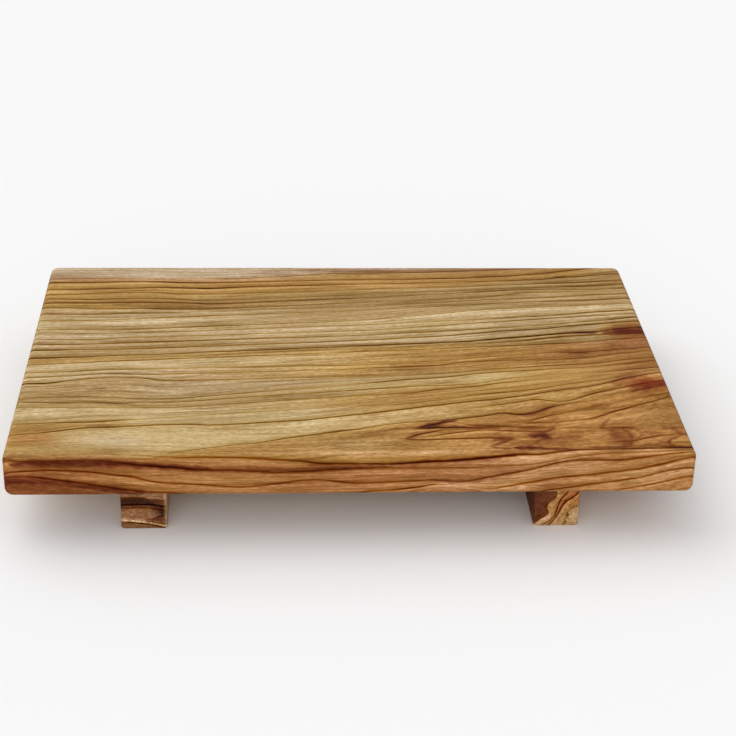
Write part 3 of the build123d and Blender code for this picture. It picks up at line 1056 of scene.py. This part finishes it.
along = points[:, 0]
from_back, depth = high[1] - points[:, 1], high[2] - points[:, 2]
lean = lean_back + (lean_front - lean_back) * from_back / (high[1] - low[1])
across = from_back + lean * depth
slope = np.stack([np.zeros_like(lean), -np.ones_like(lean), -lean], 1)
number, gap, dark, band, share, width = growth(PLANK_LINES, along, across, plank_bend)
level = straightened(PLANK_LINES, THROUGH_LINES, along, across, plank_bend)
tone = band_tone("grey", PLANK_LINES, along, band, share, width, plank_softness)
tone = patched(tone, PLANK_PATCHES, along, across)
at_end = np.clip(1 - (high[0] - np.abs(along)) / end_grain_depth, 0, 1)[:, None]
tone = tone * (1 - at_end + at_end * end_grain_shade)
carry(
    plank,
    number=number,
    gap=on_the_face(gap, slope, plank),
    dark=dark,
    grain=np.stack([along, level, points[:, 2]], 1),
    tone=tone,
    redness=redness(tone),
    heart=heart_depth(along, across, PLANK_STROKES),
    swirl=patch_weight(along, across, swirl_middle, swirl_reach, swirl_power),
    calm=patch_weight(along, across, calm_middle, calm_reach),
)

# %% [markdown]
# ## Measures of the grain
# Olive is a dense wood, and its texture has several scales: long pale streaks, fibres, hair lines and
# short pores. Each of them is a noise that is drawn out along the grain. A deep colour lets less
# light back, and blue goes first. So each channel falls off exponentially at its own rate, which
# keeps a dark line a warm brown, where black mixed in would dull it.

# %% Noises, depths and falls
# waves per mm of each noise: along the grain, across it and into the wood
streak_waves, fibre_waves = (1 / 90, 0.17, 0.17), (1 / 45, 0.9, 0.9)
fine_waves, cloud_waves = (1 / 3, 1.6, 1.6), (1 / 45, 1 / 16, 1 / 16)
break_waves, ragged_waves = (1 / 30, 1 / 3, 1 / 3), (1 / 9, 0.5, 0.5)
sway_waves, curl_waves = (1 / 22, 1 / 6, 1 / 6), (1 / 13, 1 / 6, 1 / 6)
hair_waves, pore_waves = (1 / 160, 0.17, 0.17), (1 / 2.6, 6.0, 6.0)
# how far these noises move a line
sway_reach, ragged_reach, curl_reach = 0.9, 0.7, 2.0
# a line: its depth, its half width where it is faint, and how much wider it gets where it is dark
line_depth, line_width, line_widening = 2.2, 0.26, 0.28
# the stain beside it: its depth and limit, its reach at a faint line and what a dark one adds to it
stain_depth, stain_limit, stain_faint, stain_dark = 0.8, 0.8, 0.6, 2.2
# in front of a line: where that starts, what the stain loses there, and how far the pale wood reaches
front_start, loss_faint, loss_dark, fresh_reach = 0.12, 0.3, 1.7, 1.8
hairs_per_wave, hair_width = 9.0, 0.22
# the values of a noise between which hair lines and pores set in
hair_limits, pore_limits = (0.35, 0.65), (0.60, 0.72)
calm_share = 0.65
# how fast red, green and blue fall off with the depth of a line in straw-coloured wood, of a line in
# red wood, of the stain beside a line, of the texture and of the heart pigment, with its bit of painted
# shadow
line_fall = (0.80, 1.18, 3.50)
red_line_fall = (0.75, 1.40, 2.80)
stain_fall = (0.80, 1.12, 1.90)
grain_fall = (0.80, 1.00, 1.50)
heart_fall = (0.90, 1.45, 1.52)
oil_roughness, oil_shine = 0.52, 0.02
wood_bump, wood_bump_m = 0.22, 0.00025
print("left by one unit of heart pigment:", [round(math.exp(-fall), 2) for fall in heart_fall])

# %% [markdown]
# ## Olive wood
# The material draws a line where the growth number is whole. A ring darkens slowly towards its line
# and starts pale behind it, so the stain beside a line is long on one side and short on the other.
# Fibres, hair lines and pores make a fine texture, and the strokes give a depth of heart pigment, in
# two faint places partly painted shadow. The finish is a thin coat of oil: satin, a little glossier on
# the dense dark lines.

# %% Olive material
def olive_wood(name):
    """Oiled olive wood that reads its figure, tones, heart pigment and a little painted shadow from the
    mesh it is on.

    A channel is its tone times e to the power of light minus depths, each times its own fall. The
    plain factors in the sums below are given shares.
    """
    material, shader = new_material(name)
    tree = material.node_tree
    grain = attribute(tree, "grain", 1)
    gap = attribute(tree, "gap", 2)
    streak = grain.noise(streak_waves, 4.0, 0.65) - 0.5
    fibre = grain.noise(fibre_waves, 3.0, 0.6) - 0.5
    fine = grain.noise(fine_waves, 3.0, 0.6) - 0.5
    cloud = grain.noise(cloud_waves, 2.0) - 0.5
    breaks = grain.noise(break_waves, 2.0)
    ragged = grain.noise(ragged_waves, 3.0, 0.6) - 0.5
    # lines: distance to the nearest whole growth number, after a small sway
    sway = grain.noise(sway_waves, 2.0) - 0.5
    curl = grain.noise(curl_waves, 2.0) - 0.5
    curling = attribute(tree, "swirl", 2) * curl * curl_reach
    drift = sway * sway_reach + ragged * ragged_reach + curling
    number = attribute(tree, "number", 2) + drift / gap
    past_line = (number - number.nearest_whole()) * gap
    from_line = abs(past_line)
    in_front = past_line.between(-front_start, front_start)
    weight = attribute(tree, "dark", 2) * (0.75 + 1.1 * breaks) * (1 + 1.2 * fine)
    held = weight.at_most(stain_limit)
    line = weight * line_depth * from_line.bell(line_width + line_widening * weight)
    stain_reach = stain_faint + stain_dark * held - in_front * (loss_faint + loss_dark * held)
    stain = held * stain_depth * (-from_line / stain_reach).exp()
    fresh = in_front * held * (-from_line / fresh_reach).exp()
    # hair lines: the contours of a slow noise that is drawn out along the grain
    contour = grain.noise(hair_waves, 2.0, 0.4) * hairs_per_wave
    hair = abs(contour - contour.nearest_whole()).bell(hair_width) * breaks.between(*hair_limits)
    pore = grain.noise(pore_waves, 2.0, 0.5).between(*pore_limits)
    # colour: the tone, seen through the lines, their stain, the texture and the heart pigment with its
    # bit of painted shadow
    lively = 1 - calm_share * attribute(tree, "calm", 2)
    texture = (streak * 1.2 + fibre * 1.6 - hair * 0.5) * lively + fine * (1.1 + 0.6 * lively)
    light = texture + cloud * 0.5 + fresh * 0.5 - pore * 0.25
    heart = attribute(tree, "heart", 2) * (1 + 1.3 * fibre + 1.3 * ragged)
    red_line = line * attribute(tree, "redness", 2)
    falls = [
        (light * g - line * b - red_line * (r - b) - stain * s - heart * h).exp()
        for b, r, s, g, h in zip(line_fall, red_line_fall, stain_fall, grain_fall, heart_fall)
    ]
    channels = dict(zip(("Red", "Green", "Blue"), falls))
    seen_through = light.node("ShaderNodeCombineColor", {}, channels)
    colour = attribute(tree, "tone", 0).mixed(seen_through, 1.0, "MULTIPLY")
    shine = line.at_most(1.0)
    roughness = oil_roughness + 0.25 * fine - 0.08 * shine + 0.10 * pore
    height = fine * 0.5 + fibre * 0.6 - pore * 0.8 - shine * 0.3
    bump = height.bump(wood_bump, wood_bump_m)
    link(shader, {"Base Color": colour, "Roughness": roughness, "Normal": bump})
    shader.inputs["Specular IOR Level"].default_value = oil_shine
    print(name, len(tree.nodes), "nodes")
    return material


plank.data.materials.append(olive_wood("oiled_olive_plank"))

# %% [markdown]
# ## The runners
# Each runner is a square bar of the same wood, seen mostly from its front end, where the growth
# sheets show as bands. The left bar was cut with the sheets lying flat, so its chart runs sideways
# and counts up from the sole. The right bar was cut with the sheets standing, so its chart runs
# upwards and counts from left to right.

# %% Runner charts
TONES.update({
    "olive": (0.29, 0.14, 0.066),
    "fawn": (0.60, 0.35, 0.19),
    "shell": (0.74, 0.48, 0.29),
    "clay": (0.31, 0.142, 0.068),
    "plum": (0.048, 0.016, 0.011),
    "walnut": (0.14, 0.042, 0.018),
    "sand": (0.46, 0.24, 0.09),
    "buff": (0.50, 0.31, 0.15),
    "amber": (0.47, 0.22, 0.072),
    "ginger": (0.37, 0.135, 0.045),
})
LEFT_LINES = [
    ("sole line", "shell", [
        (-10, 3.9, .6), (-5, 3.6, .7), (0, 3.1, .7), (5, 2.1, .8), (9.2, .9, .8), (10, .7, 0),
    ]),
    ("strip", {0: "clay", 4: "walnut"}, [
        (-10, 5.5, .25), (-5, 5.1, .25), (0, 4.3, .3), (5, 3.2, .4), (9.2, 2.3, .4), (10, 2.2, 0),
    ]),
    ("wedge", {3: "clay", 8: "plum"}, [
        (-10, 6, 0), (0, 5, 0), (3, 4.8, .2), (6, 6, .2), (9.2, 6.8, .2), (10, 7, 0),
    ]),
    ("lower dark", {-10: "plum", -6: "walnut", 2: "walnut", 8: "plum"}, [
        (-10, 10.7, .3), (-4, 11, .3), (2, 11, .3), (6, 10.2, .3), (9.2, 9.2, .3), (10, 9, 0),
    ]),
    ("dark core", {4: "plum", 8: "walnut"}, [
        (-10, 12.4, .7), (-7, 12.6, .8), (-4, 12.7, 1), (3, 12.7, 1), (6, 12.3, .9),
        (9.2, 11.7, .7), (10, 11.5, 0),
    ]),
    ("upper dark", "olive", [
        (-10, 15.8, .3), (-4, 15.9, .4), (1, 15.6, .3), (4, 15, .3), (9.2, 14.4, .2), (10, 14.2, 0),
    ]),
]
RIGHT_LINES = [
    ("dark shore", {0: "buff", 4: "fawn", 8: "sand"}, [
        (0, -11, .2), (2.1, -8.7, .4), (4, -6.7, .5), (5.3, -4.9, .5), (7.2, -3.4, .6),
        (8.4, -4.4, .5), (10.2, -4.8, .5), (12, -4.1, .5), (13.2, -1.9, .4), (14.6, -.6, .3),
        (20, -.4, .3),
    ]),
    ("first curl", {0: "sand", 6: "ginger"}, [
        (.5, -6.4, .6), (3, -2.2, .6), (5.6, -.5, .7), (8.5, .1, .7), (11, .8, .6), (13.7, 1.4, .7),
        (16, 3.2, .6), (20, 6, .4),
    ]),
    ("second curl", {0: "buff", 8: "sand", 13: "amber"}, [
        (.2, -3.1, .5), (1.8, -1.8, .5), (3.7, -.9, .6), (6.3, .7, .7), (9.2, 1.9, .8),
        (11.1, 2.7, .8), (12.9, 4, 1), (14, 6.2, 1), (16, 8.2, .9), (20, 11, .6),
    ]),
    ("dashes", {9: "buff", 12: "amber"}, [
        (0, 3, 0), (2, 4.5, .4), (4, 4, 0), (5.4, 5.4, .6), (7, 4.4, .5), (8, 6, 0), (9.6, 7, .5),
        (10.2, 10, .6), (20, 15, .2),
    ]),
]
# pale edges, a painted highlight along the top and the right edge of the end face: tone, (along,
# across), (half length, half width), strength
LEFT_EDGE_HIGHLIGHTS = [("shell", (10.2, 10), (0.9, 14), 0.9), ("shell", (0, 20.2), (14, 0.9), 0.7)]
# first tone of the chart, its lines, those that the grain follows, patches, and if it counts upwards
RUNNERS = {
    "left_runner": (
        "olive", LEFT_LINES, ("sole line", "lower dark", "upper dark"), LEFT_EDGE_HIGHLIGHTS, True,
    ),
    "right_runner": ("walnut", RIGHT_LINES, ("dark shore", "second curl"), [], False),
}
print(len(LEFT_LINES), "and", len(RIGHT_LINES), "growth lines")

# %% [markdown]
# ## Bars for the runners
# Both bars are eased blocks like the plank, with a finer mesh because their figure is smaller. The
# sheets run along the bar, but no tree is dead straight. So the chart drifts slowly from the front
# end to the back, and the two ends of a bar don't look alike.

# %% Runner surfaces
runner_corner, runner_rim = 1.2, 1.0
runner_step_across, runner_step_along = 0.5, 1.0
runner_bend = 0.5
runner_softness = 0.4
runner_sanding = 0.05
slow_drift, slow_drift_length = 1.6, 47.0
quick_drift, quick_drift_length = 0.7, 13.0


def runner_piece(node, first, chart, through, patches, upwards):
    """One runner: an eased bar whose chart lies in its cross-section and drifts along its length."""
    low, high = (np.array(v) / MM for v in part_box(node))
    rims = runner_corner, runner_rim, runner_rim
    steps_x, steps_y = [(0, runner_step_across)], [(0, runner_step_along)]
    points, quads = eased_block(low, high, *rims, steps_x, steps_y, runner_step_across)
    points = hand_sanded(points, low, high, runner_sanding)
    piece = new_piece(f"olive_{node}", points, quads)

    sideways, upright = points[:, 0] - (low[0] + high[0]) / 2, points[:, 2]
    from_front = points[:, 1] - low[1]
    growing = from_front / (high[1] - low[1])
    drift = slow_drift * np.sin(from_front / slow_drift_length)
    drift = drift + quick_drift * np.sin(from_front / quick_drift_length) * growing
    along, across = (sideways, upright) if upwards else (upright, sideways)
    slope = np.tile((0.0, 0.0, 1.0) if upwards else (1.0, 0.0, 0.0), (len(points), 1))
    number, gap, dark, band, share, width = growth(chart, along, across + drift, runner_bend)
    level = straightened(chart, through, along, across + drift, runner_bend)
    tone = band_tone(first, chart, along, band, share, width, runner_softness)
    tone = patched(tone, patches, along, across)
    carry(
        piece,
        number=number,
        gap=on_the_face(gap, slope, piece),
        dark=dark,
        grain=np.stack([points[:, 1], level, along], 1),
        tone=tone,
        redness=redness(tone),
    )
    return piece


runners = {node: runner_piece(node, *facts) for node, facts in RUNNERS.items()}
runner_olive = olive_wood("oiled_olive_runner")
for runner in runners.values():
    runner.data.materials.append(runner_olive)

# %% [markdown]
# ## Beech dowels
# The dowels that hold the runners are hidden in the wood, and their solids are right as they are, so
# they only get a finish: pale pinkish beech with short brown flecks along the grain. It reads Object
# coordinates, because the dowels stand upright.

# %% Beech material
beech_pale = (0.56, 0.36, 0.21, 1)
beech_dark = (0.40, 0.235, 0.125, 1)
# waves per metre: two directions across the dowel, then along it
drift_waves = (500.0, 500.0, 60.0)
fleck_waves = (3000.0, 3000.0, 500.0)
fleck_limits = 0.58, 0.68
beech_roughness = 0.62
beech_bump, beech_bump_m = 0.2, 0.0002


def beech():
    """Plain beech: slow colour drift along the dowel, and flecks about 2 mm long."""
    material, shader = new_material("plain_beech")
    object_output = 3
    place = add_node(material.node_tree, "ShaderNodeTexCoord", {}, {}, object_output)
    drift = place.noise(drift_waves, 3.0)
    fleck = place.noise(fleck_waves, 2.0).between(*fleck_limits)
    pale = drift.node("ShaderNodeRGB", {}, {})
    pale.socket.default_value = beech_pale
    colour = pale.mixed(beech_dark, (0.25 * drift + 0.6 * fleck).at_most(1.0))
    bump = (drift - fleck).bump(beech_bump, beech_bump_m)
    roughness = beech_roughness + 0.15 * drift
    link(shader, {"Base Color": colour, "Roughness": roughness, "Normal": bump})
    return material


dowel_beech = beech()
dowels = [node for name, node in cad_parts.items() if name.endswith("_dowel")]
for dowel in dowels:
    dowel.data.materials.clear()
    dowel.data.materials.append(dowel_beech)
print(len(dowels), "dowels in beech")

# %% [markdown]
# ## Putting it together
# Nothing on a geta moves, so every piece rides on the one body of the solid model. The modelled
# surfaces stand for the plain solids of the plank and the runners.

# %% Ride and replace
for piece, node, slot in (
    (plank, "plank", "olive_plank"),
    (runners["left_runner"], "left_runner", "olive_runner"),
    (runners["right_runner"], "right_runner", "olive_runner"),
):
    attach(piece, "root")
    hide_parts(node)
